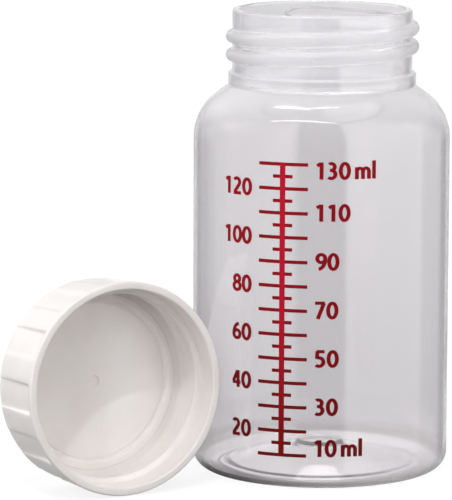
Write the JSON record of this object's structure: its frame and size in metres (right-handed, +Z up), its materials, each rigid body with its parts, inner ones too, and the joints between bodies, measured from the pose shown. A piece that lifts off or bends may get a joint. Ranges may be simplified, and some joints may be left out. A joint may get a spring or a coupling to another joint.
{
  "type": "feeding bottle",
  "caption": "Clear wide-neck feeding bottle with a raised screw thread and a printed millilitre scale, with its ribbed white screw cap stood open beside it.",
  "frame": {"origin": "centre of the bottle's standing ring, on the surface the bottle stands on", "axes": "+Z up along the bottle's axis, out of its mouth; -Y towards the side that carries the scale"},
  "size_m": [0.09, 0.0683, 0.095],
  "materials": {
    "clear_bottle": "clear polypropylene, gloss as blown",
    "white_cap": "white polypropylene, gloss as moulded",
    "scale_ink": "red screen-printed ink on the bottle's wall"
  },
  "bodies": {
    "bottle": {"bottle": "clear_bottle"},
    "cap": {"cap": "white_cap"}
  },
  "joints": [
    {"name": "cap_lift", "type": "slide", "parent": "bottle", "child": "cap", "axis": [0, 0, 1], "range_m": [0, 0.11]}
  ]
}
